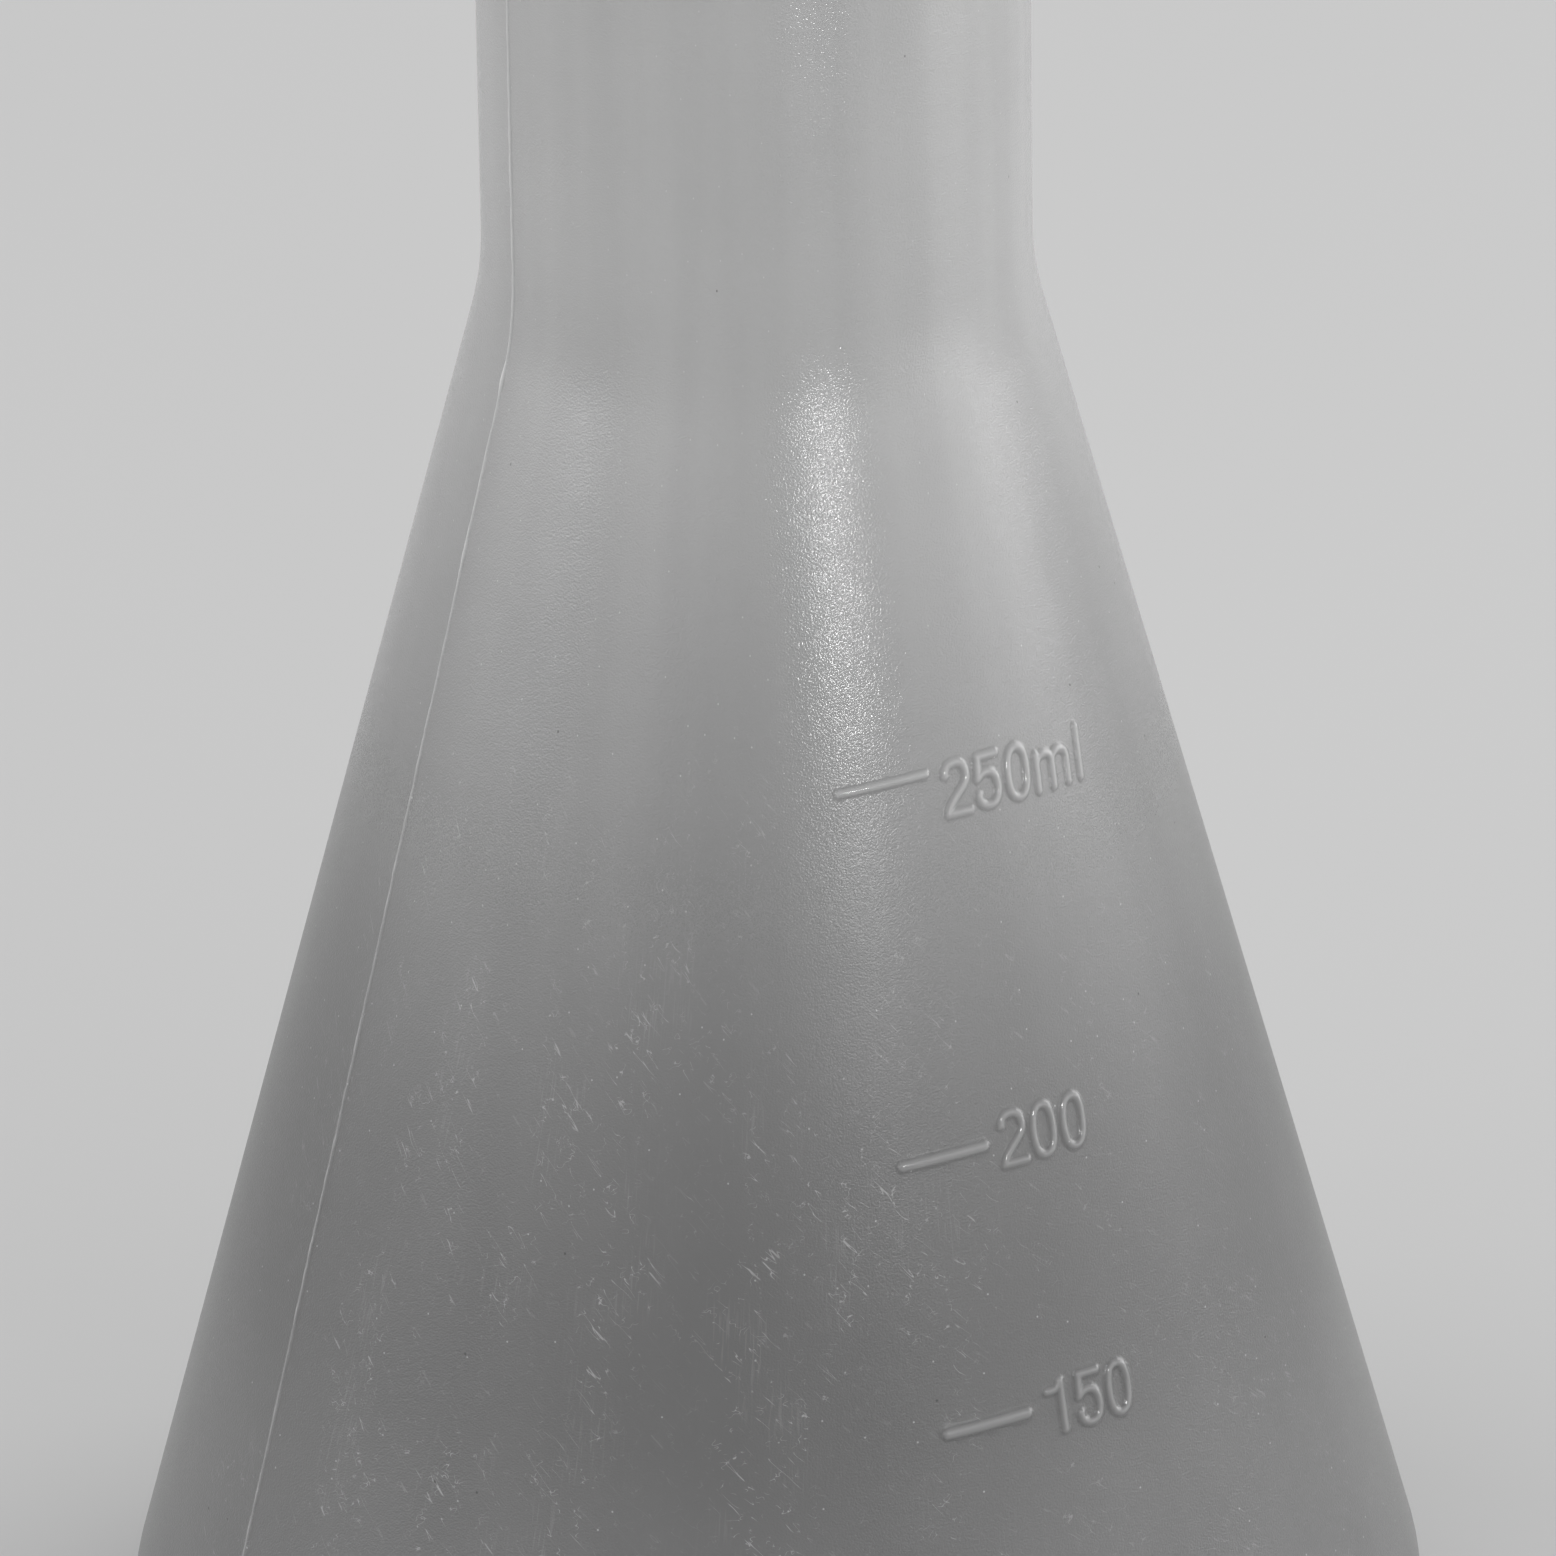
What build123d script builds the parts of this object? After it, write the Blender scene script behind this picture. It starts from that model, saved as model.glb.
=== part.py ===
from build123d import *
from math import atan2, cos, degrees, hypot, radians, sin, tan
import os

# A 250 ml conical laboratory flask, blow moulded in one piece of natural polypropylene.
# Z is the flask's axis and the origin is the centre of the plane it stands on.
# The mould parts on the XZ plane, and the graduated half faces -Y.

# Overall form, outside
height = 145.0
neck_radius = 17.0
cone_half_angle = 14.83
shoulder_height = 101.0
shoulder_blend = 24.0

# The base corner is part of an ellipse, a little wider than tall
corner_width = 9.4
corner_height = 8.6

# Walls: the blown tube stretches least at the neck, so the wall is thickest there
neck_wall = 1.5
body_wall = 1.0

# Rounded bead round the mouth, an ellipse in section
bead_projection = 2.0
bead_height = 4.4

# Underside: a standing ring round a shallow recess with a flat floor and a sloping side
ring_width = 3.0
recess_height = 2.0
recess_slope_width = 9.0
ring_edge_blend = 8.0

# Parting line of the mould, and the weld where the mould pinched the blown tube shut
seam_width = 0.45
seam_height = 0.2
weld_length = 40.0
weld_width = 1.1
weld_height = 0.5

# Raised graduation: heights above the base of the marks for 250, 200, 150, 100 and 50 ml
mark_heights = (76.5, 53.45, 36.75, 23.5, 12.4)
mark_length = 6.1
mark_width = 0.72
mark_rise = 0.3
lowest_mark_centre = -3.0
scale_lean = 1.3

# Worked out from the sizes above
half_angle = radians(cone_half_angle)
slope = tan(half_angle)
bore_radius = neck_radius - neck_wall
foot_radius = neck_radius + slope * shoulder_height
corner_reach = hypot(corner_width, slope * corner_height)
ring_outer_radius = foot_radius - slope * corner_height - corner_reach
ring_inner_radius = ring_outer_radius - ring_width
recess_floor_radius = ring_inner_radius - recess_slope_width
bead_centre = height - bead_height / 2
bead_root = height - bead_height


def outer_radius(level):
    """Radius of the cone's outside at a height above the base."""
    return foot_radius - slope * level


def corner_at(outline, x, y):
    """The corner of an outline that lies nearest to a place in its own plane."""
    return outline.vertices().sort_by_distance(Vector(x, y))[0]


def half_section(grow, neck, top):
    """The right half of the flask's section, filled, with its outline moved out by a distance."""
    shoulder = shoulder_height + grow * tan(half_angle / 2)
    floor = recess_height - grow
    width = corner_width + grow
    rise = corner_height + grow
    past_level = degrees(atan2(slope * rise, width))
    with BuildSketch(Plane.XZ) as half:
        with BuildLine():
            corner = EllipticalCenterArc(
                (ring_outer_radius, corner_height), width, rise, start_angle=-90, arc_size=90 + past_level
            )
            Polyline(
                corner @ 1,
                (neck, shoulder),
                (neck, top),
                (0, top),
                (0, floor),
                (recess_floor_radius, floor),
                (ring_inner_radius, -grow),
                corner @ 0,
            )
        make_face()
        fillet(corner_at(half, neck, shoulder), shoulder_blend - grow)
    return half.sketch_local


# The outside, filled, with a soft edge inside the standing ring and the bead round the mouth
with BuildSketch(Plane.XZ) as outside:
    add(half_section(0, neck_radius, bead_centre))
    fillet(corner_at(outside, ring_inner_radius, 0), ring_edge_blend)
    with Locations((neck_radius, bead_centre)):
        Ellipse(bead_projection, bead_height / 2)

# The space inside, parallel to the outside round the base and a little steeper in the cone
with BuildSketch(Plane.XZ) as inside:
    add(half_section(-body_wall, bore_radius, height + bead_height))

# The flash left on the parting line: the section grown a little, as a thin plate that is cut
# off where the flask stands and under the bead
with BuildSketch(Plane.XZ) as seam_outline:
    add(half_section(seam_height, neck_radius + seam_height, bead_root))
    mirror(about=Plane.YZ)
    with Locations((0, bead_root / 2)):
        Rectangle(2 * foot_radius, bead_root, mode=Mode.INTERSECT)

# The weld in the recess: the section grown more, kept to the middle of the underside
with BuildSketch(Plane.XZ) as weld_outline:
    add(half_section(weld_height, neck_radius + weld_height, bead_root))
    mirror(about=Plane.YZ)
    with Locations((0, recess_height / 2)):
        Rectangle(weld_length, recess_height, mode=Mode.INTERSECT)

# The raised marks: bars cut square to the cone's side, then limited to a skin round the flask
with BuildPart() as marks:
    for mark_height in mark_heights:
        shift = tan(radians(scale_lean)) * (mark_height - min(mark_heights))
        side = Plane(
            origin=(0, -outer_radius(mark_height), mark_height),
            x_dir=(1, 0, 0),
            z_dir=(0, -cos(half_angle), sin(half_angle)),
        )
        with BuildSketch(side):
            with Locations((lowest_mark_centre - shift, 0)):
                SlotOverall(mark_length, mark_width, rotation=scale_lean)
        extrude(amount=neck_wall, both=True)
    with BuildSketch(Plane.XZ):
        add(half_section(mark_rise, neck_radius + mark_rise, bead_root))
    revolve(axis=Axis.Z, mode=Mode.INTERSECT)

with BuildPart() as hollow:
    add(inside.sketch)
    revolve(axis=Axis.Z)

with BuildPart() as flask:
    add(outside.sketch)
    revolve(axis=Axis.Z)
    add(seam_outline.sketch)
    extrude(amount=seam_width / 2, dir=(0, 1, 0), both=True)
    add(weld_outline.sketch)
    extrude(amount=weld_width / 2, dir=(0, 1, 0), both=True)
    add(marks.part)
    add(hollow.part, mode=Mode.SUBTRACT)

flask.part.label = "flask"

os.makedirs("parts", exist_ok=True)
export_step(flask.part, "parts/flask.step")
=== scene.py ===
from math import atan2, cos, exp, hypot, pi, radians, sin, sqrt, tan

import bmesh
import bpy
from mathutils import Matrix, Vector, noise
from mathutils.geometry import interpolate_bezier
from mathutils.kdtree import KDTree


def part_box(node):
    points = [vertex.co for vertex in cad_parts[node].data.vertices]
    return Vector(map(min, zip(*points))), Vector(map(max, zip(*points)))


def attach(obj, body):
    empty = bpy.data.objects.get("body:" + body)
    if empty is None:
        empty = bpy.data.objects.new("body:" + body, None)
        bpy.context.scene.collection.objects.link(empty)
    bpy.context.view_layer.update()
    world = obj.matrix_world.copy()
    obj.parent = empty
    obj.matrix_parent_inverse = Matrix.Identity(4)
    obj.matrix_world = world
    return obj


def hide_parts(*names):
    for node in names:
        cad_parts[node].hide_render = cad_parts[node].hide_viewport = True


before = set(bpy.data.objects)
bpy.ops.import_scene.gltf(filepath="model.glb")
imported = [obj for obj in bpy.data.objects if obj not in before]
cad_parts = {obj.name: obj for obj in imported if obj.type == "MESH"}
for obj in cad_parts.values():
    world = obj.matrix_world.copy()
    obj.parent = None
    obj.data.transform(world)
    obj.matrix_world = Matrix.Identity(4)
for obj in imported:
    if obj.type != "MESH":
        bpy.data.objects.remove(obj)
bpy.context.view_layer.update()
node_low, node_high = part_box("flask")

bl_info = {
    "name": "Conical Laboratory Flask",
    "version": (1, 0, 0),
    "blender": (4, 5, 0),
    "location": "3D View > Sidebar > Flask",
    "description": "Models a blow-moulded, graduated conical flask and its studio",
    "category": "Object",
}

# Vertex attribute that holds how far the skin is raised, 1 being FULL_RISE or more
RAISED = "raised"

# Lengths are in metres, so a value in millimetres is written as a number times MM
MM = 0.001
FULL_RISE = 0.2 * MM

# Single-stroke engraving letters in a cell one unit wide and one unit tall. A stroke of two
# points is straight, and a longer one is a chain of cubic curves that share their end points.
LETTERS = {
    "0": (
        (
            (0.5, 1.0), (0.84, 1.0), (1.0, 0.84), (1.0, 0.5), (1.0, 0.16), (0.84, 0.0), (0.5, 0.0),
            (0.16, 0.0), (0.0, 0.16), (0.0, 0.5), (0.0, 0.84), (0.16, 1.0), (0.5, 1.0),
        ),
    ),
    "1": (
        ((0.7, 1.0), (0.7, 0.0)),
        ((0.62, 1.0), (0.6, 0.87), (0.4, 0.82), (0.02, 0.84)),
    ),
    "2": (
        (
            (0.0, 0.78), (0.0, 0.93), (0.2, 1.0), (0.52, 1.0), (0.84, 1.0), (1.02, 0.9), (1.02, 0.72),
            (1.02, 0.46), (0.1, 0.3), (0.0, 0.0),
        ),
        ((0.0, 0.0), (1.08, 0.0)),
    ),
    "5": (
        ((1.0, 1.0), (0.06, 1.0)),
        ((0.06, 1.0), (0.0, 0.56)),
        (
            (0.0, 0.56), (0.12, 0.63), (0.28, 0.67), (0.48, 0.67), (0.8, 0.67), (1.0, 0.54), (1.0, 0.33),
            (1.0, 0.12), (0.8, 0.0), (0.48, 0.0), (0.2, 0.0), (0.0, 0.08), (0.0, 0.24),
        ),
    ),
    "m": (
        ((0.0, 0.7), (0.0, 0.0)),
        ((0.0, 0.48), (0.0, 0.62), (0.2, 0.7), (0.45, 0.7), (0.72, 0.7), (0.88, 0.62), (0.88, 0.48)),
        ((0.88, 0.48), (0.88, 0.0)),
        ((0.88, 0.48), (0.88, 0.62), (1.08, 0.7), (1.32, 0.7), (1.58, 0.7), (1.74, 0.62), (1.74, 0.48)),
        ((1.74, 0.48), (1.74, 0.0)),
    ),
    "l": (
        ((0.0, 1.0), (0.0, 0.0)),
    ),
}


def length(name, description, default):
    """A length property, given in millimetres and kept in metres."""
    return bpy.props.FloatProperty(
        name=name, description=description, default=default * MM, min=0.0, precision=5,
        unit="LENGTH", subtype="DISTANCE",
    )


def angle(name, description, default):
    """An angle property, given in degrees and kept in radians."""
    return bpy.props.FloatProperty(
        name=name, description=description, default=radians(default), precision=4,
        unit="ROTATION", subtype="ANGLE",
    )


def share(name, description, default, high=1.0):
    """A plain number from nothing to a highest value."""
    return bpy.props.FloatProperty(name=name, description=description, default=default, min=0.0, max=high)


def grey(name, description, level):
    """A neutral colour."""
    return bpy.props.FloatVectorProperty(
        name=name, description=description, subtype="COLOR", size=4, default=(level, level, level, 1.0),
        min=0.0, max=1.0,
    )


class FlaskForm(bpy.types.PropertyGroup):
    """Sizes of the moulded vessel."""

    height: length("Height", "From the bench to the top of the bead", node_high[2] / MM)
    neck_radius: length("Neck radius", "Outside of the straight neck", 17.0)
    cone_half_angle: angle("Cone half angle", "Between the cone's side and its axis", 14.83)
    shoulder_height: length("Shoulder height", "Where cone and neck would meet without a blend", 101.0)
    shoulder_blend: length("Shoulder blend", "Outside radius between cone and neck", 24.0)
    corner_width: length("Corner width", "Half width of the ellipse at the base corner", 9.4)
    corner_height: length("Corner height", "Half height of the ellipse at the base corner", 8.6)
    neck_wall: length("Neck wall", "Wall thickness of the neck", 1.5)
    body_wall: length("Body wall", "Wall thickness of the body", 1.0)
    bead_projection: length("Bead projection", "How far the bead stands out from the neck", 2.0)
    bead_height: length("Bead height", "Height of the bead round the mouth", 4.4)
    ring_width: length("Ring width", "Width of the standing ring", 3.0)
    recess_height: length("Recess height", "How far the base is pushed in", 2.0)
    recess_slope_width: length("Recess slope", "Width of the recess's sloping side", 9.0)
    ring_edge_blend: length("Ring edge blend", "Radius inside the standing ring", 8.0)
    columns: bpy.props.IntProperty(
        name="Columns", description="Faces round the vessel", default=240, min=24, max=480
    )


class FlaskSeam(bpy.types.PropertyGroup):
    """The parting line and the weld under the base."""

    width: length("Seam width", "Mean width of the flash", 0.26)
    rise: length("Seam height", "Mean height of the flash", 0.12)
    wander: length("Seam wander", "How far the flash strays sideways", 0.05)
    weld_length: length("Weld length", "Length of the pinch weld", 39.0)
    weld_width: length("Weld width", "Width of the pinch weld", 1.1)
    weld_height: length("Weld height", "Height of the pinch weld", 0.5)


class FlaskScale(bpy.types.PropertyGroup):
    """The raised graduation."""

    mark_length: length("Mark length", "Length of a graduation mark", 6.1)
    mark_width: length("Mark width", "Width of a graduation mark", 0.72)
    mark_rise: length("Mark height", "How far marks stand out", 0.24)
    mark_lean: angle("Lean", "How far the scale leans off upright", 1.3)
    lowest_mark_centre: length("Lowest mark", "From its middle to the centre line", 3.0)
    letter_width: length("Letter width", "Width of a numeral between stroke centres", 1.45)
    letter_height: length("Letter height", "Height of a numeral between stroke centres", 3.15)
    letter_pitch: length("Letter pitch", "From one numeral to the next", 2.26)
    stroke_width: length("Stroke width", "Width of a numeral's stroke at its foot", 0.68)
    stroke_rise: length("Stroke height", "How far numerals stand out", 0.21)


class FlaskFinish(bpy.types.PropertyGroup):
    """Colours and surface of the plastic."""

    # Painted shade: these two colours are partly the wall's thickness and partly painted shade, which
    # darkens the plastic from the neck down to the foot.
    lit_neck_colour: grey("Neck colour", "The plastic where the wall is thick", 0.42)
    shaded_foot_colour: grey("Foot colour", "The plastic where the wall is thin", 0.142)
    scuff_colour: grey("Scuff colour", "The plastic where it is scratched white", 0.8)
    speck_colour: grey("Speck colour", "Dark specks caught in the plastic", 0.03)
    roughness: share("Roughness", "Mean roughness of the moulded skin", 0.13)
    depth: length("Light depth", "How far light spreads in the plastic", 1.0)
    grain_size: length("Grain size", "Size of the grain in the moulded skin", 0.13)
    grain_depth: length("Grain depth", "Depth of the grain", 0.026)
    swell_size: length("Swell size", "Size of the wall's slow unevenness", 9.0909)
    swell_depth: length("Swell depth", "Depth of the wall's slow unevenness", 0.12)


class FlaskStudio(bpy.types.PropertyGroup):
    """Camera, lamps and floor."""

    azimuth: angle("Camera azimuth", "Round from the graduated side", -28.70)
    elevation: angle("Camera elevation", "Above the bench", 26.5032)
    distance: length("Camera distance", "From the point that the camera faces", 1034.74)
    aim_height: length("Aim height", "Height of that point on the axis", 65.778)
    roll: angle("Camera roll", "Tilt of the picture", -0.867)
    yaw: angle("Camera yaw", "Turn of the camera off the axis", -0.049)
    focal_length: bpy.props.FloatProperty(
        name="Focal length", description="In millimetres", default=382.52, min=10.0, max=1000.0,
        unit="CAMERA",
    )
    floor_reach: length("Floor reach", "From the floor's middle to its edge", 6000.0)
    floor_colour: grey("Floor colour", "The floor as the camera sees it", 0.62)
    floor_bounce: grey("Floor bounce", "The floor as the object sees it", 0.3)
    room_light: share("Room light", "Strength of the even light all round", 0.65, 4.0)


def pen(bm, radius, height):
    """Sets the first point of a section, in the plane of the axis."""
    return bm.verts.new((radius, 0.0, height))


def run(bm, vert, radius, height, steps=1):
    """Draws a straight line in equal steps and returns its end."""
    start = vert.co.copy()
    end = Vector((radius, 0.0, height))
    for step in range(steps):
        vert = bmesh.ops.extrude_vert_indiv(bm, verts=[vert])["verts"][0]
        vert.co = start.lerp(end, (step + 1) / steps)
    return vert


def turn(bm, vert, radius, height, sweep, steps, squash=1.0):
    """Draws an arc round a centre, squashed in height to an ellipse, and returns its end."""
    centre = Vector((radius, 0.0, height))
    vert.co.z = height + (vert.co.z - height) / squash
    before = set(bm.verts)
    last = bmesh.ops.spin(
        bm, geom=[vert], cent=centre, axis=(0.0, -1.0, 0.0), dvec=(0.0, 0.0, 0.0), angle=sweep,
        steps=steps, use_merge=False, use_normal_flip=False, use_duplicate=False,
    )["geom_last"]
    arc = [v for v in bm.verts if v not in before] + [vert]
    bmesh.ops.scale(bm, vec=(1.0, 1.0, squash), space=Matrix.Translation(-centre), verts=arc)
    return next(v for v in last if isinstance(v, bmesh.types.BMVert))


class Section:
    """The places in the vessel's section that its drawing and its raised lines both need."""

    def __init__(self, form):
        self.form = form
        self.half_angle = form.cone_half_angle
        self.slope = tan(self.half_angle)
        self.bore_radius = form.neck_radius - form.neck_wall
        self.foot_radius = form.neck_radius + self.slope * form.shoulder_height
        reach = hypot(form.corner_width, self.slope * form.corner_height)
        self.ring_outer = self.foot_radius - self.slope * form.corner_height - reach
        self.ring_inner = self.ring_outer - form.ring_width
        self.floor_radius = self.ring_inner - form.recess_slope_width
        self.bead_centre = form.height - form.bead_height / 2
        self.bead_root = form.height - form.bead_height
        self.corner_sweep = atan2(self.slope * form.corner_height, form.corner_width)
        self.corner_top = form.corner_height * (1 + sin(self.corner_sweep))
        self.neck_start = form.shoulder_height + form.shoulder_blend * tan(self.half_angle / 2)
        self.cone_top = self.neck_start - form.shoulder_blend * sin(self.half_angle)

    def cone_radius(self, height):
        """Radius of the cone's outside at a height."""
        return self.foot_radius - self.slope * height

    def skin_radius(self, height):
        """Radius of the vessel's outside at a height, from the standing ring to the bead."""
        form = self.form
        if height < self.corner_top:
            drop = (form.corner_height - height) / form.corner_height
            return self.ring_outer + form.corner_width * sqrt(max(0.0, 1 - drop * drop))
        if height < self.cone_top:
            return self.cone_radius(height)
        if height < self.neck_start:
            rise = self.neck_start - height
            return form.neck_radius + form.shoulder_blend - sqrt(form.shoulder_blend**2 - rise**2)
        return form.neck_radius

    def on_cone(self, mark_height, across, up):
        """A point of the plane that a mark's line is engraved in, put onto the cone."""
        right = Vector((1.0, 0.0, 0.0))
        upward = Vector((0.0, sin(self.half_angle), cos(self.half_angle)))
        outward = Vector((0.0, -cos(self.half_angle), sin(self.half_angle)))
        point = Vector((0.0, -self.cone_radius(mark_height), mark_height)) + across * right + up * upward
        for _ in range(6):
            radius = self.skin_radius(point.z)
            depth = -sqrt(radius * radius - point.x * point.x)
            point += outward * ((depth - point.y) / outward.y)
        return point


MARKS = (
    # height above the base, text, left edge of the text, its middle above the mark, its turn,
    # and the width of the mark beside the usual one
    (76.5, "250ml", -0.45, -1.22, -1.6, 0.78),
    (53.45, "200", 0.03, 0.14, -0.8, 1.0),
    (36.75, "150", 0.62, -0.05, 0.0, 1.08),
    (23.5, "100", 0.98, 0.0, 0.0, 1.0),
    (12.4, "50", 1.3, 0.42, 0.0, 1.0),
)


# Rows of faces are finer from a little below each mark to a little above it
FINE_ROW, COARSE_ROW = 0.8 * MM, 2.6 * MM
FINE_BELOW, FINE_ABOVE = 4.4, 2.6


def draw_section(bm, section):
    """Draws the closed section of the wall, from the middle of the recess round to the inside."""
    form = section.form
    slope_angle = atan2(form.recess_height, form.recess_slope_width)
    blend_reach = form.ring_edge_blend * tan(slope_angle / 2)

    point = pen(bm, 0.0, form.recess_height)
    point = run(bm, point, section.floor_radius, form.recess_height, 6)
    along = hypot(form.recess_slope_width, form.recess_height) - blend_reach
    point = run(
        bm, point, section.floor_radius + along * cos(slope_angle),
        form.recess_height - along * sin(slope_angle), 5,
    )
    point = turn(bm, point, section.ring_inner + blend_reach, form.ring_edge_blend, slope_angle, 4)
    point = run(bm, point, section.ring_outer, 0.0, 2)
    point = turn(
        bm, point, section.ring_outer, form.corner_height, pi / 2 + section.corner_sweep, 22,
        form.corner_height / form.corner_width,
    )

    level = point.co.z
    stops = []
    for mark_height, *_ in reversed(MARKS):
        low, high = (mark_height - FINE_BELOW) * MM, (mark_height + FINE_ABOVE) * MM
        if low > level:
            stops.append((low, COARSE_ROW))
        stops.append((high, FINE_ROW))
    stops.append((section.cone_top, COARSE_ROW))
    for stop, size in stops:
        steps = max(1, round((stop - point.co.z) / size))
        point = run(bm, point, section.cone_radius(stop), stop, steps)

    point = turn(
        bm, point, form.neck_radius + form.shoulder_blend, section.neck_start, -section.half_angle, 12
    )
    point = run(bm, point, form.neck_radius, section.bead_root, 24)
    root = point
    lip = pi - atan2(
        sqrt(1 - (form.neck_wall / form.bead_projection) ** 2), form.neck_wall / form.bead_projection
    )
    point = turn(
        bm, point, form.neck_radius, section.bead_centre, pi / 2 + lip, 26,
        form.bead_height / 2 / form.bead_projection,
    )
    point.co.x = section.bore_radius
    mouth = point

    inner_width = form.corner_width - form.body_wall
    inner_rise = form.corner_height - form.body_wall
    inner_sweep = atan2(section.slope * inner_rise, inner_width)
    foot = Vector((
        section.ring_outer + inner_width * cos(inner_sweep),
        form.corner_height + inner_rise * sin(inner_sweep),
    ))
    shoulder = form.shoulder_height - form.body_wall * tan(section.half_angle / 2)
    inner_angle = atan2(foot.x - section.bore_radius, shoulder - foot.y)
    inner_blend = form.shoulder_blend + form.body_wall
    inner_start = shoulder + inner_blend * tan(inner_angle / 2)
    point = run(bm, point, section.bore_radius, inner_start, 8)
    point = turn(bm, point, section.bore_radius + inner_blend, inner_start, inner_angle, 8)
    point = run(bm, point, foot.x, foot.y, 18)
    squash = inner_rise / inner_width
    point = turn(
        bm, point, section.ring_outer, form.corner_height, -(pi / 2 + inner_sweep), 12, squash
    )
    point = run(bm, point, section.ring_inner, form.body_wall, 2)
    point = run(bm, point, section.floor_radius, form.recess_height + form.body_wall, 3)
    run(bm, point, 0.0, form.recess_height + form.body_wall, 4)

    for corner, size in ((root, 0.5 * MM), (mouth, 0.3 * MM)):
        bmesh.ops.bevel(
            bm, geom=[corner], offset=size, offset_type="OFFSET", affect="VERTICES", segments=4,
            profile=0.5, material=-1,
        )


def spin_section(bm, columns):
    """Spins the section into a closed wall."""
    axis = [v for v in bm.verts if abs(v.co.x) < 1e-6]
    for vert in axis:
        vert.co.x = 0.0
    bmesh.ops.spin(
        bm, geom=bm.verts[:] + bm.edges[:], cent=(0.0, 0.0, 0.0), axis=(0.0, 0.0, 1.0),
        dvec=(0.0, 0.0, 0.0), angle=2 * pi, steps=columns, use_merge=True, use_normal_flip=False,
        use_duplicate=False,
    )
    bmesh.ops.remove_doubles(bm, verts=bm.verts[:], dist=1e-6)
    bmesh.ops.dissolve_degenerate(bm, edges=bm.edges[:], dist=1e-7)
    bmesh.ops.recalc_face_normals(bm, faces=bm.faces[:])


class RaisedLines:
    """Lines that stand out from the skin, each kept as close samples with a width and a rise."""

    def __init__(self):
        self.samples = []

    def add(self, point, half_width, rise, flat):
        """Adds one sample. flat is the share of the half width that is level on top."""
        self.samples.append((point, half_width, rise, flat))

    def settle(self):
        """Sorts the samples for searching."""
        self.tree = KDTree(len(self.samples))
        for index, (point, *_) in enumerate(self.samples):
            self.tree.insert(point, index)
        self.tree.balance()
        self.widest = max(sample[1] for sample in self.samples)

    def distance(self, point):
        """How far a point is from the nearest line."""
        return self.tree.find(point)[2]

    def height_at(self, point):
        """How far the skin stands out at a point."""
        best = 0.0
        for _, index, distance in self.tree.find_range(point, self.widest):
            _, half_width, rise, flat = self.samples[index]
            if distance < half_width:
                fall = max(0.0, (distance / half_width - flat) / (1 - flat))
                best = max(best, rise * (1 - fall * fall))
        return best


def stroke_points(stroke):
    """Close points along a letter's stroke."""
    if len(stroke) == 2:
        start, end = (Vector(p) for p in stroke)
        return [start.lerp(end, step / 70) for step in range(71)]
    points = []
    for first in range(0, len(stroke) - 1, 3):
        knots = [Vector(p).to_3d() for p in stroke[first:first + 4]]
        points += interpolate_bezier(*knots, 40)
    return [p.to_2d() for p in points]


def scale_lines(section, scale):
    """The graduation: a bar and its numerals at each mark."""
    lines = RaisedLines()
    lowest = min(mark[0] for mark in MARKS)
    for mark_height, text, left, middle, lean, bar in MARKS:
        level = mark_height * MM
        centre = -scale.lowest_mark_centre - tan(scale.mark_lean) * (mark_height - lowest) * MM
        width = scale.mark_width * bar
        reach = scale.mark_length / 2 - width / 2
        for step in range(121):
            along = reach * (step / 60 - 1)
            lines.add(
                section.on_cone(level, centre + along * cos(scale.mark_lean), along * sin(scale.mark_lean)),
                width / 2 + 0.03 * MM, scale.mark_rise, 0.2,
            )
        cursor = left * MM
        turned = Matrix.Rotation(radians(lean), 2)
        for letter in text:
            for stroke in LETTERS[letter]:
                for p in stroke_points(stroke):
                    across = cursor + p.x * scale.letter_width
                    up = (p.y - 0.5) * scale.letter_height
                    place = turned @ Vector((across - left * MM, up))
                    point = section.on_cone(level, place.x + left * MM, place.y + middle * MM)
                    lines.add(point, scale.stroke_width / 2, scale.stroke_rise, 0.0)
            cursor += scale.letter_pitch * (1.6 if letter == "m" else 1.0)
    lines.settle()
    return lines


# Heights in millimetres at which a little more flash was squeezed out, and how much, on the
# parting line at -X and on the one at +X
FLECKS = {
    -1: ((97.6, 0.9), (86.2, 0.35), (55.0, 0.3), (31.0, 0.25)),
    1: ((92.0, 0.5), (61.0, 0.4), (24.0, 0.35)),
}
FLECK_REACH = 0.7
FLASH_STEP = 0.06 * MM
HIGHEST_FLASH = 0.19 * MM


def seam_lines(section, seam):
    """The flash on the parting line, down both sides, uneven as a worn mould leaves it."""
    lines = RaisedLines()
    low, high = 0.6 * MM, section.bead_root - 0.3 * MM
    steps = round((high - low) / FLASH_STEP)
    for side in (-1, 1):
        for step in range(steps + 1):
            height = low + (high - low) * step / steps
            place = height / MM
            slow = noise.noise(Vector((side * 7.3, 0.0, place * 0.11)))
            quick = noise.noise(Vector((side * 3.1, 5.0, place * 0.9)))
            swell = 0.2 * slow + 0.3 * quick + 0.6 * exp(-place / 30) - 0.15
            for fleck, size in FLECKS[side]:
                swell += size * exp(-((place - fleck) / FLECK_REACH) ** 2)
            ends = min(1.0, (height - low) / (1.5 * MM), (high - height) / (0.8 * MM))
            kink = noise.noise(Vector((side * 1.7, 9.0, place * 0.35)))
            nick = noise.noise(Vector((side * 2.3, 4.0, place * 1.7)))
            drift = seam.wander * (0.8 * slow + 0.9 * kink + 0.5 * nick)
            rise = min(seam.rise * (1 + swell), HIGHEST_FLASH) * max(0.0, ends)
            point = Vector((side * section.skin_radius(height), drift, height))
            lines.add(point, seam.width / 2 * (1 + 0.6 * swell), rise, 0.1)
    lines.settle()
    return lines


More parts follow.
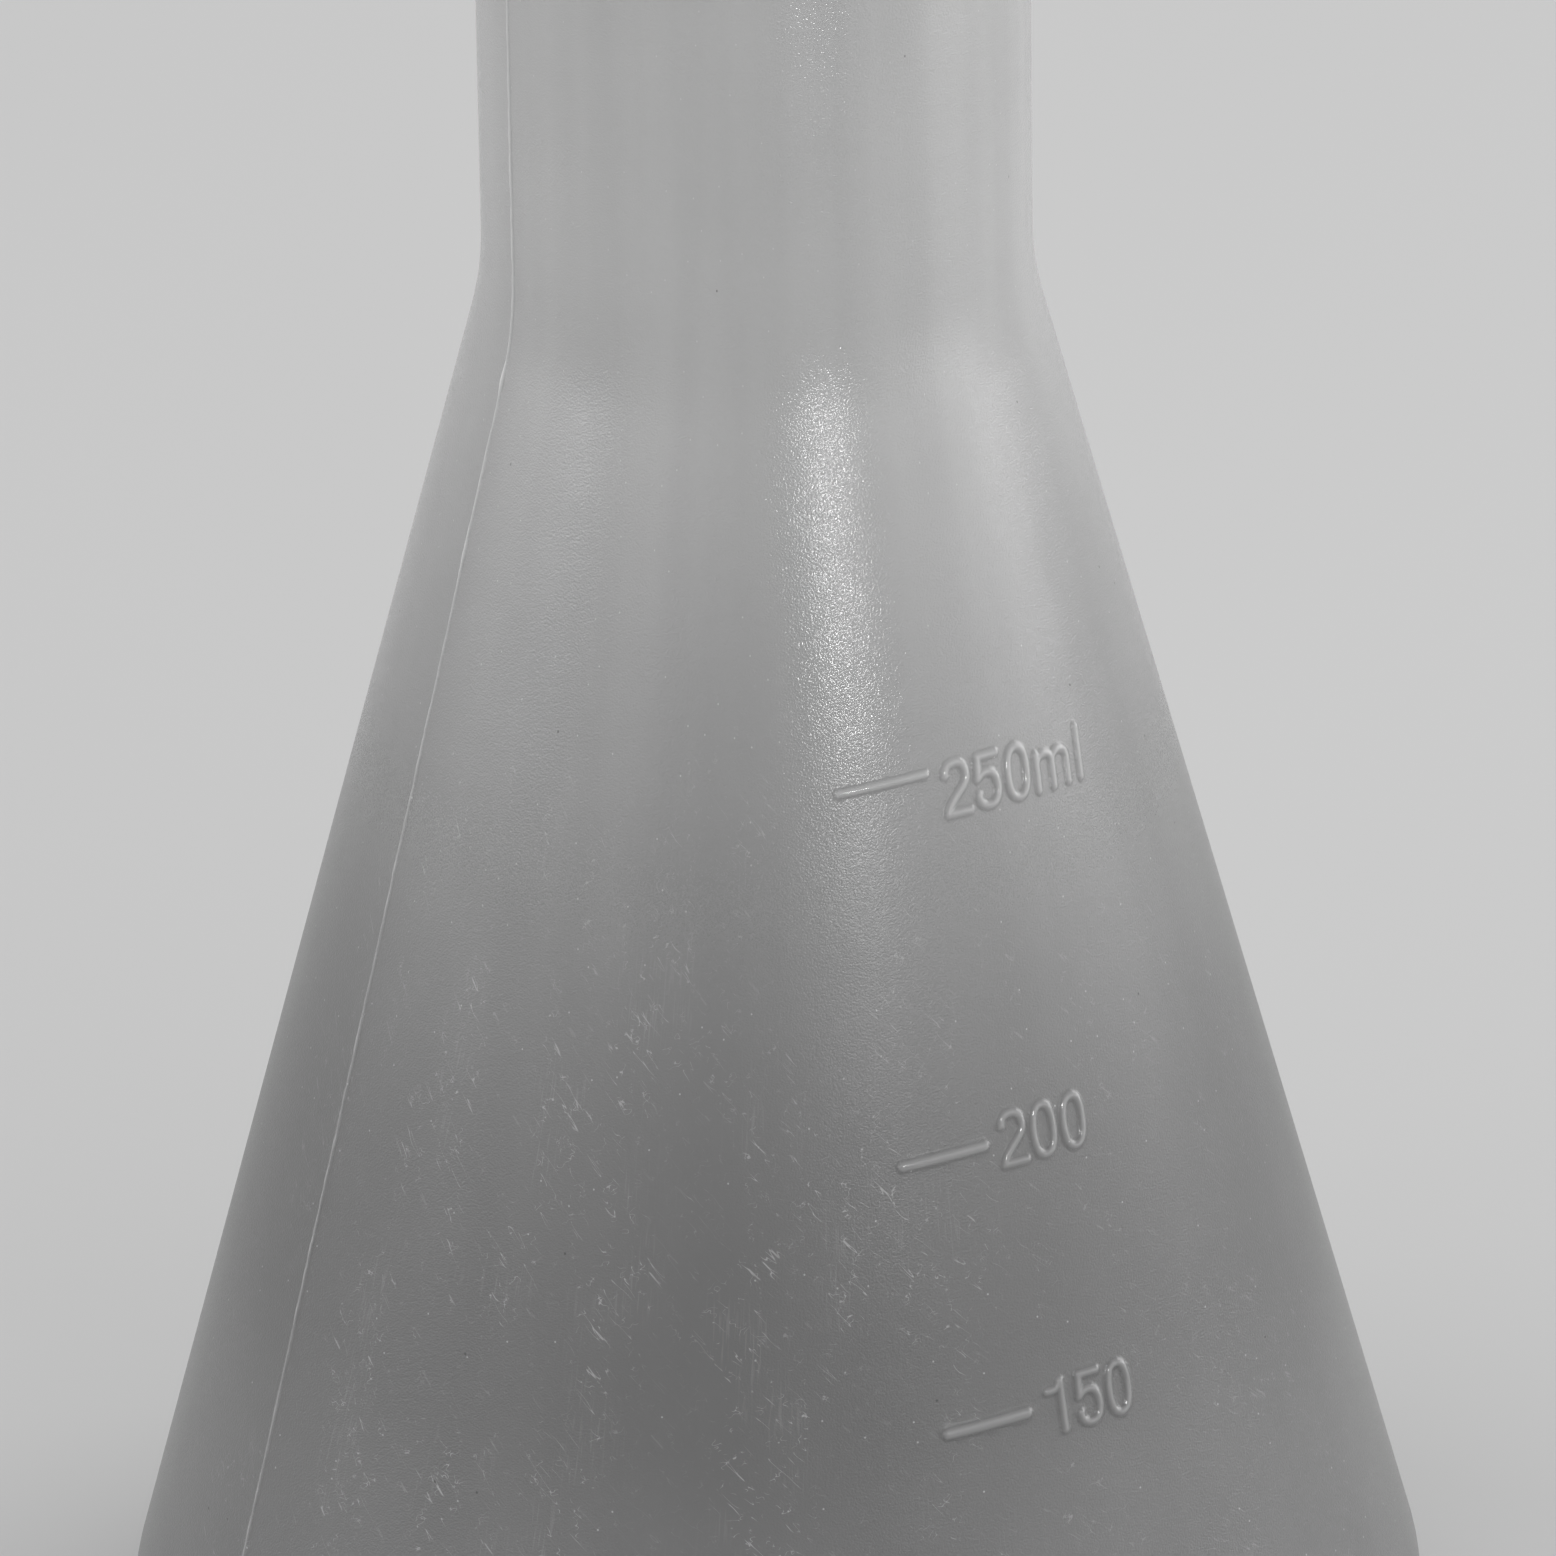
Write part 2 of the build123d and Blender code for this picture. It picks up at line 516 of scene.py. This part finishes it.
# How near a face's middle is to a line when it is halved for the first, second and third time,
# and how near to a line the skin is put back on its true radius and lifted
SCALE_REACHES = (1.1 * MM, 0.65 * MM, 0.45 * MM)
SEAM_REACHES = (1.1 * MM, 0.6 * MM, 0.36 * MM)
LIFT_REACH = 1.6 * MM


def refine(bm, lines, reaches, inside):
    """Halves the skin's faces near the lines, once for each reach."""
    for reach in reaches:
        near = [
            f for f in bm.faces
            if inside(f.calc_center_median()) and lines.distance(f.calc_center_median()) < reach
        ]
        edges = list({e for f in near for e in f.edges})
        bmesh.ops.subdivide_edges(bm, edges=edges, cuts=1, use_grid_fill=True)


def raise_lines(bm, section, lines, inside):
    """Puts the faces near the lines back on the true skin, lifts them and notes how far."""
    raised = bm.verts.layers.float[RAISED]
    near = [v for v in bm.verts if inside(v.co) and lines.distance(v.co) < LIFT_REACH]
    for vert in near:
        radius = hypot(vert.co.x, vert.co.y)
        grow = section.skin_radius(vert.co.z) / radius
        vert.co.x *= grow
        vert.co.y *= grow
    bm.normal_update()
    lifts = [(v, v.normal.copy(), lines.height_at(v.co)) for v in near]
    for vert, outward, lift in lifts:
        vert.co += outward * lift
        vert[raised] = max(vert[raised], lift / FULL_RISE)


def on_skin(section):
    """A test for points on the outside of the vessel's side."""
    slack = 0.35 * MM

    def inside(point):
        return (
            0.3 * MM < point.z < section.bead_root
            and abs(hypot(point.x, point.y) - section.skin_radius(point.z)) < slack
        )

    return inside


# Where the recess's floor is cut, in half widths across the weld and half lengths along it
WELD_CUTS_ACROSS = (-1.3, -1.0, -0.7, -0.35, 0.35, 0.7, 1.0, 1.3)
WELD_CUTS_ALONG = (-1.0, -0.98, 0.98, 1.0)


def press_weld(bm, section, seam):
    """Cuts the recess's floor along the pinch weld and lifts the strip between the cuts."""
    level = section.form.recess_height
    half_width, half_length = seam.weld_width / 2, seam.weld_length / 2
    cuts = [(part * half_width, (0.0, 1.0, 0.0)) for part in WELD_CUTS_ACROSS]
    cuts += [(part * half_length, (1.0, 0.0, 0.0)) for part in WELD_CUTS_ALONG]
    for place, normal in cuts:
        floor = [f for f in bm.faces if all(abs(v.co.z - level) < 1e-5 for v in f.verts)]
        edges = {e for f in floor for e in f.edges}
        verts = {v for f in floor for v in f.verts}
        bmesh.ops.bisect_plane(
            bm, geom=list(verts) + list(edges) + floor, dist=1e-7, plane_co=Vector(normal) * place,
            plane_no=normal, use_snap_center=False, clear_outer=False, clear_inner=False,
        )
    for vert in bm.verts:
        across, along = abs(vert.co.y) / half_width, abs(vert.co.x) / half_length
        if abs(vert.co.z - level) < 1e-5 and across < 1 and along < 1:
            ragged = 1 + 0.25 * noise.noise(Vector((vert.co.x / MM * 0.35, 2.0, 0.0)))
            ends = min(1.0, (1 - along) / 0.02)
            full = seam.weld_height * min(0.96, 0.8 * ragged)
            vert.co.z -= full * sqrt(1 - across**2) * ends


def fit_box(bm):
    """Draws the vessel in by the few thousandths of a millimetre that the solid's facets cut off."""
    fit = min(1.0, node_high[1] / max(abs(v.co.y) for v in bm.verts))
    bmesh.ops.scale(bm, vec=(fit, fit, 1.0), verts=bm.verts[:])


def add_piece(name, bm):
    """Makes a smooth mesh object at the origin from a bmesh."""
    mesh = bpy.data.meshes.new(name)
    bm.to_mesh(mesh)
    bm.free()
    mesh.shade_smooth()
    piece = bpy.data.objects.new(name, mesh)
    bpy.context.scene.collection.objects.link(piece)
    return piece


class Wiring:
    """Short ways to add and join the nodes of one material."""

    def __init__(self, name):
        self.material = bpy.data.materials.new(name)
        self.material.use_nodes = True
        self.tree = self.material.node_tree
        self.tree.nodes.clear()

    def add(self, kind, settings=None, **inputs):
        """Adds a node. Its sockets take numbers, colours or other nodes' sockets."""
        node = self.tree.nodes.new(kind)
        for key, value in (settings or {}).items():
            setattr(node, key, value)
        for key, value in inputs.items():
            name = int(key[1:]) if key[0] == "_" else key.replace("_", " ")
            self.feed(node.inputs[name], value)
        return node

    def feed(self, socket, value):
        """Links another node's socket to this one, or sets its value."""
        if isinstance(value, bpy.types.NodeSocket):
            self.tree.links.new(value, socket)
        else:
            socket.default_value = value

    def sum(self, operation, *values):
        """A Math node."""
        inputs = {f"_{index}": value for index, value in enumerate(values)}
        return self.add("ShaderNodeMath", {"operation": operation}, **inputs).outputs[0]

    def fade(self, value, low, high, start=0.0, end=1.0):
        """A smooth step from start to end as a value goes from low to high."""
        return self.add(
            "ShaderNodeMapRange", {"interpolation_type": "SMOOTHSTEP"}, Value=value, From_Min=low,
            From_Max=high, To_Min=start, To_Max=end,
        ).outputs["Result"]

    def noise(self, vector, scale, detail=2.0):
        """A Noise texture's value in space."""
        return self.add("ShaderNodeTexNoise", Vector=vector, Scale=scale, Detail=detail).outputs["Fac"]

    def noise_2d(self, vector, detail=1.0):
        """A Noise texture's value on a plane."""
        return self.add(
            "ShaderNodeTexNoise", {"noise_dimensions": "2D"}, Vector=vector, Scale=1.0, Detail=detail
        ).outputs["Fac"]

    def drawn(self, vector, lean, along, across, offset):
        """Plane coordinates turned by a lean, then counted in steps along it and across it."""
        return self.add(
            "ShaderNodeMapping", {"vector_type": "TEXTURE"}, Vector=vector,
            Location=(offset, offset * 0.7, 0.0), Rotation=(0.0, 0.0, lean), Scale=(along, across, 1.0),
        ).outputs[0]

    def blend(self, amount, first, second, kind="MIX"):
        """A colour mix."""
        node = self.add("ShaderNodeMix", {"data_type": "RGBA", "blend_type": kind}, _0=amount)
        self.feed(node.inputs[6], first)
        self.feed(node.inputs[7], second)
        return node.outputs[2]


def dots(wires, flat, cell, radius, chance, offset):
    """Round specks, at most one in each cell of an uneven net."""
    net = wires.add(
        "ShaderNodeTexVoronoi", {"voronoi_dimensions": "2D"},
        Vector=wires.drawn(flat, 0.0, cell, cell, offset), Scale=1.0, Randomness=1.0,
    )
    luck = wires.add("ShaderNodeSeparateColor", Color=net.outputs["Color"]).outputs[2]
    speck = wires.fade(net.outputs["Distance"], radius / cell * 0.5, radius / cell, 1.0, 0.0)
    return wires.sum("MULTIPLY", speck, wires.sum("LESS_THAN", luck, chance))


def hairlines(wires, flat, lean, along, across, width, offset):
    """Fine lines that run nearly side by side: the level curves of a noise drawn out along them."""
    value = wires.noise_2d(wires.drawn(flat, lean, along, across, offset), 1.0)
    off_line = wires.sum("ABSOLUTE", wires.sum("SUBTRACT", value, 0.5))
    return wires.fade(off_line, width / across * 0.2, width / across, 1.0, 0.0)


def patches(wires, flat, lean, along, across, low, high, offset, detail=1.0):
    """Soft-edged patches where a noise is high."""
    return wires.fade(wires.noise_2d(wires.drawn(flat, lean, along, across, offset), detail), low, high)


def wear(wires, flat):
    """Scratches and rubbed spots as a mask, made by flasks that knock and rub together."""
    product = "MULTIPLY"
    slant = radians(-44.0)
    bundles = wires.sum(
        product, hairlines(wires, flat, slant, 3.0 * MM, 0.45 * MM, 0.009 * MM, 0.011),
        patches(wires, flat, slant, 2.4 * MM, 0.5 * MM, 0.58, 0.68, 0.037),
    )
    hooks = wires.sum(
        product, hairlines(wires, flat, radians(20.0), 0.8 * MM, 0.5 * MM, 0.009 * MM, 0.093),
        patches(wires, flat, radians(60.0), 1.2 * MM, 0.8 * MM, 0.58, 0.68, 0.071),
    )
    crumbs = wires.sum(
        product, patches(wires, flat, slant, 0.2 * MM, 0.09 * MM, 0.56, 0.7, 0.053),
        patches(wires, flat, radians(-60.0), 1.7 * MM, 0.8 * MM, 0.63, 0.76, 0.067, 2.0),
    )
    strokes = wires.sum("MAXIMUM", wires.sum("MAXIMUM", bundles, hooks), wires.sum(product, crumbs, 0.5))
    brushed = wires.sum(
        product, patches(wires, flat, radians(88.0), 2.6 * MM, 0.16 * MM, 0.55, 0.75, 0.029),
        patches(wires, flat, 0.0, 4.0 * MM, 7.0 * MM, 0.45, 0.7, 0.017),
    )
    return wires.sum("MAXIMUM", strokes, wires.sum(product, brushed, 0.2))


# Radius at which the skin is unrolled, about the middle of the cone
UNROLLED_RADIUS = 33 * MM

# The side that was rubbed most, as a bearing round from the graduation towards +X
WORN_BEARING = radians(-46.0)


def wall_colour_with_painted_shade(wires, here, flat, height, side, finish):
    """The wall is stretched thinner from the neck down, and the colour darkens from the neck down as
    painted shade; near the base it is lifted a little as painted light.
    """
    # Painted shade: from 40 mm up to 115 mm the colour goes from the dark foot colour to the pale neck
    # colour
    thick = wires.fade(height, 40 * MM, 115 * MM)
    colour = wires.blend(thick, tuple(finish.shaded_foot_colour), tuple(finish.lit_neck_colour))
    streaks = wires.noise_2d(wires.drawn(flat, 0.0, 9 * MM, 90 * MM, 0.041), 2.0)
    streaks = wires.sum("MULTIPLY_ADD", wires.sum("SUBTRACT", streaks, 0.5), side, 0.5)
    clouds = wires.noise(here, 55.0, 2.0)
    mottle_and_base_light = wires.fade(wires.sum("ADD", streaks, clouds), 0.6, 1.4, 0.95, 1.05)
    # Painted light: below 38 mm the colour is lifted by up to 12 per cent towards the base
    mottle_and_base_light = wires.sum("MULTIPLY", mottle_and_base_light, wires.fade(height, 26 * MM, 38 * MM, 1.12, 1.0))
    tint = wires.add("ShaderNodeCombineColor", Red=mottle_and_base_light, Green=mottle_and_base_light, Blue=mottle_and_base_light).outputs[0]
    return wires.blend(1.0, colour, tint, "MULTIPLY")


def worn_share(wires, flat, height, bearing):
    """How much the skin is worn: little on the neck, most low down on one side, in clusters."""
    low_down = wires.fade(height, 52 * MM, 88 * MM, 1.0, 0.08)
    clusters = patches(wires, flat, 0.0, 4.5 * MM, 16.0 * MM, 0.42, 0.62, 0.083)
    turned = wires.sum("COSINE", wires.sum("SUBTRACT", bearing, WORN_BEARING))
    facing = wires.fade(turned, 0.55, 0.97, 0.35, 1.0)
    worn = wires.sum("MULTIPLY", wires.sum("MULTIPLY_ADD", clusters, 0.8, 0.2), facing)
    return wires.sum("MULTIPLY", low_down, worn)


def plastic(finish):
    """Natural polypropylene: milky, satin, finely grained, whitened where it is scratched, with painted
    shade from the neck down and painted light near the base.
    """
    wires = Wiring("natural polypropylene")
    here = wires.add("ShaderNodeTexCoord").outputs["Object"]
    xyz = wires.add("ShaderNodeSeparateXYZ", Vector=here)
    across, deep, height = xyz.outputs
    bearing = wires.sum("ARCTAN2", across, wires.sum("MULTIPLY", deep, -1.0))
    unrolled = wires.sum("MULTIPLY", bearing, UNROLLED_RADIUS)
    flat = wires.add("ShaderNodeCombineXYZ", X=unrolled, Y=height, Z=0.0).outputs[0]
    raised = wires.add(
        "ShaderNodeAttribute", {"attribute_type": "GEOMETRY", "attribute_name": RAISED}
    ).outputs["Fac"]

    # What is laid on the unrolled skin ends above the base corner, or it would fan out underneath
    side = wires.fade(height, 4 * MM, 7 * MM)
    # The plastic's colour, with painted shade darkening it from the neck down and painted light near the
    # base
    colour = wall_colour_with_painted_shade(wires, here, flat, height, side, finish)

    # Whitened scratches and specks, and a lighter colour on the raised flash, far more than on the marks
    # and numerals
    worn = worn_share(wires, flat, height, bearing)
    marks = wires.sum("MULTIPLY", wires.sum("MULTIPLY", wear(wires, flat), worn), side)
    specks = wires.sum("MULTIPLY", dots(wires, flat, 2.4 * MM, 0.08 * MM, 0.22, 0.029), side)
    bright = wires.sum("MAXIMUM", wires.sum("MULTIPLY", marks, 0.27), wires.sum("MULTIPLY", specks, 0.3))
    parting = wires.fade(wires.sum("ABSOLUTE", deep), 0.4 * MM, 0.7 * MM, 0.34, 0.11)
    bright = wires.sum("MAXIMUM", bright, wires.sum("MULTIPLY", raised, parting))
    colour = wires.blend(bright, colour, tuple(finish.scuff_colour))
    dark = wires.sum("MULTIPLY", dots(wires, flat, 7.0 * MM, 0.11 * MM, 0.12, 0.061), side)
    colour = wires.blend(wires.sum("MULTIPLY", dark, 0.6), colour, tuple(finish.speck_colour))

    # Grain of the mould, which numerals and flash don't have, and a slow unevenness of the wall
    grain = wires.noise(here, 1.0 / finish.grain_size, 1.0)
    swells = wires.noise(here, 1.0 / finish.swell_size, 1.0)
    plain = wires.sum("MAXIMUM", wires.sum("SUBTRACT", 1.0, raised), 0.1)
    grain_relief = wires.sum("MULTIPLY", wires.sum("MULTIPLY", grain, finish.grain_depth), plain)
    relief = wires.sum("MULTIPLY_ADD", swells, finish.swell_depth, grain_relief)
    bump = wires.add("ShaderNodeBump", Height=relief, Strength=1.0, Distance=1.0)

    # Rougher low down and where it is scratched, smoother on what is raised
    spread = 0.03
    rough = wires.fade(grain, 0.3, 0.7, finish.roughness - spread, finish.roughness + spread)
    rough = wires.sum("ADD", rough, wires.fade(height, 62 * MM, 84 * MM, 0.2, 0.0))
    rough = wires.sum("MULTIPLY_ADD", marks, 0.2, rough)
    rough = wires.sum("MULTIPLY", rough, wires.fade(raised, 0.0, 0.6, 1.0, 0.3))

    shader = wires.add(
        "ShaderNodeBsdfPrincipled", {"subsurface_method": "RANDOM_WALK"}, Base_Color=colour,
        Roughness=rough, IOR=1.5, Specular_IOR_Level=0.4, Normal=bump.outputs[0], Subsurface_Weight=0.6,
        Subsurface_Radius=(1.0, 1.0, 1.0), Subsurface_Scale=finish.depth,
    )
    wires.add("ShaderNodeOutputMaterial", Surface=shader.outputs[0])
    return wires.material


class FLASK_OT_vessel(bpy.types.Operator):
    """Mould the vessel, with its parting line, pinch weld and raised graduation"""

    bl_idname = "flask.vessel"
    bl_label = "Vessel"

    def execute(self, context):
        scene = context.scene
        section = Section(scene.flask_form)
        bm = bmesh.new()
        draw_section(bm, section)
        spin_section(bm, scene.flask_form.columns)
        bm.verts.layers.float.new(RAISED)
        inside = on_skin(section)
        graduation = scale_lines(section, scene.flask_scale)
        flash = seam_lines(section, scene.flask_seam)
        refine(bm, graduation, SCALE_REACHES, inside)
        refine(bm, flash, SEAM_REACHES, inside)
        raise_lines(bm, section, graduation, inside)
        raise_lines(bm, section, flash, inside)
        press_weld(bm, section, scene.flask_seam)
        fit_box(bm)
        loose = [e for e in bm.edges if len(e.link_faces) != 2]
        if loose:
            raise RuntimeError(f"The vessel's wall has {len(loose)} open or doubled edges")
        piece = add_piece("vessel", bm)
        piece.data.materials.append(plastic(scene.flask_finish))
        print("vessel triangles", sum(len(p.vertices) - 2 for p in piece.data.polygons))
        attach(piece, "root")
        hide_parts("flask")
        return {"FINISHED"}


# Each lamp's name, bearing in degrees round from the camera, height, distance from the axis, width
# and height of its panel, all in metres, and power in watts. The strips make the sheen's streaks.
LAMPS = (
    ("strip right", 23.5, 0.104, 0.18, (0.026, 0.014), 0.054),
    ("strip left", -65.0, 0.112, 0.18, (0.026, 0.014), 0.012),
    ("front right", 46.0, 0.35, 1.2, (1.0, 0.9), 3.6),
    ("back right", 110.0, 0.35, 1.2, (0.8, 0.9), 7.8),
    ("front left", -50.0, 0.35, 1.2, (1.0, 0.9), 3.2),
    ("side left", -90.0, 0.35, 1.2, (0.9, 0.9), 5.3),
    ("low right", 80.0, 0.04, 0.4, (0.25, 0.12), 0.226),
)
LIT_POINT = (0.0, 0.0, 0.075)


def lamp(name, bearing, height, distance, size, power):
    """A soft rectangular lamp, placed by its bearing from the object and turned towards it."""
    data = bpy.data.lights.new(name, "AREA")
    data.shape = "RECTANGLE"
    data.size, data.size_y = size
    data.energy = power
    place = Vector((distance * sin(bearing), -distance * cos(bearing), height))
    item = bpy.data.objects.new(name, data)
    turned = (place - Vector(LIT_POINT)).to_track_quat("Z", "Y")
    item.matrix_world = Matrix.Translation(place) @ turned.to_matrix().to_4x4()
    item.visible_camera = False
    bpy.context.scene.collection.objects.link(item)


class FLASK_OT_stage(bpy.types.Operator):
    """Set the floor, the lamps and the camera"""

    bl_idname = "flask.stage"
    bl_label = "Stage"

    def execute(self, context):
        scene = context.scene
        studio = scene.flask_studio
        bm = bmesh.new()
        bmesh.ops.create_grid(bm, x_segments=2, y_segments=2, size=studio.floor_reach)
        floor = add_piece("floor", bm)
        wires = Wiring("floor paper")
        path = wires.add("ShaderNodeLightPath").outputs
        seen = wires.sum("MAXIMUM", path["Is Camera Ray"], path["Is Glossy Ray"])
        seen = wires.sum("MAXIMUM", seen, path["Is Transmission Ray"])
        colour = wires.blend(seen, tuple(studio.floor_bounce), tuple(studio.floor_colour))
        shader = wires.add(
            "ShaderNodeBsdfPrincipled", Base_Color=colour, Roughness=1.0, Specular_IOR_Level=0.0
        )
        wires.add("ShaderNodeOutputMaterial", Surface=shader.outputs[0])
        floor.data.materials.append(wires.material)

        world = bpy.data.worlds.new("studio")
        scene.world = world
        world.use_nodes = True
        tree = world.node_tree
        tree.nodes.clear()
        background = tree.nodes.new("ShaderNodeBackground")
        background.inputs["Color"].default_value = (1.0, 1.0, 1.0, 1.0)
        background.inputs["Strength"].default_value = studio.room_light
        output = tree.nodes.new("ShaderNodeOutputWorld")
        tree.links.new(background.outputs[0], output.inputs["Surface"])

        front = studio.azimuth
        for name, bearing, height, distance, size, power in LAMPS:
            lamp(name, front + radians(bearing), height, distance, size, power)

        data = bpy.data.cameras.new("camera")
        data.lens = studio.focal_length
        data.sensor_width = 36.0
        data.sensor_fit = "HORIZONTAL"
        data.clip_end = 30.0
        camera = bpy.data.objects.new("camera", data)
        turn_round = Matrix.Rotation(front, 4, "Z")
        back, up = studio.distance * cos(studio.elevation), studio.distance * sin(studio.elevation)
        place = turn_round @ Vector((0.0, -back, up)) + Vector((0.0, 0.0, studio.aim_height))
        camera.matrix_world = (
            Matrix.Translation(place)
            @ Matrix.Rotation(front + studio.yaw, 4, "Z")
            @ Matrix.Rotation(pi / 2 - studio.elevation, 4, "X")
            @ Matrix.Rotation(studio.roll, 4, "Z")
        )
        scene.collection.objects.link(camera)
        scene.camera = camera
        scene.view_settings.view_transform = "Standard"
        return {"FINISHED"}


class FLASK_PT_panel(bpy.types.Panel):
    """The flask's pieces, in the order in which they are made"""

    bl_idname = "FLASK_PT_panel"
    bl_label = "Flask"
    bl_space_type = "VIEW_3D"
    bl_region_type = "UI"
    bl_category = "Flask"

    def draw(self, context):
        scene = context.scene
        for operator, groups in (
            ("flask.vessel", (scene.flask_form, scene.flask_seam, scene.flask_scale, scene.flask_finish)),
            ("flask.stage", (scene.flask_studio,)),
        ):
            box = self.layout.box()
            box.operator(operator)
            for group in groups:
                for name in group.__annotations__:
                    box.prop(group, name)


GROUPS = {
    "flask_form": FlaskForm,
    "flask_seam": FlaskSeam,
    "flask_scale": FlaskScale,
    "flask_finish": FlaskFinish,
    "flask_studio": FlaskStudio,
}
CLASSES = (*GROUPS.values(), FLASK_OT_vessel, FLASK_OT_stage, FLASK_PT_panel)


def register():
    """Makes the classes known and hangs the settings on the scene."""
    for cls in CLASSES:
        bpy.utils.register_class(cls)
    for name, group in GROUPS.items():
        setattr(bpy.types.Scene, name, bpy.props.PointerProperty(type=group))


def unregister():
    """Takes the settings and the classes away again."""
    for name in GROUPS:
        delattr(bpy.types.Scene, name)
    for cls in reversed(CLASSES):
        bpy.utils.unregister_class(cls)


def main():
    """Builds everything; the vessel step prints its triangle count."""
    register()
    bpy.ops.flask.vessel()
    bpy.ops.flask.stage()


if __name__ == "__main__":
    main()
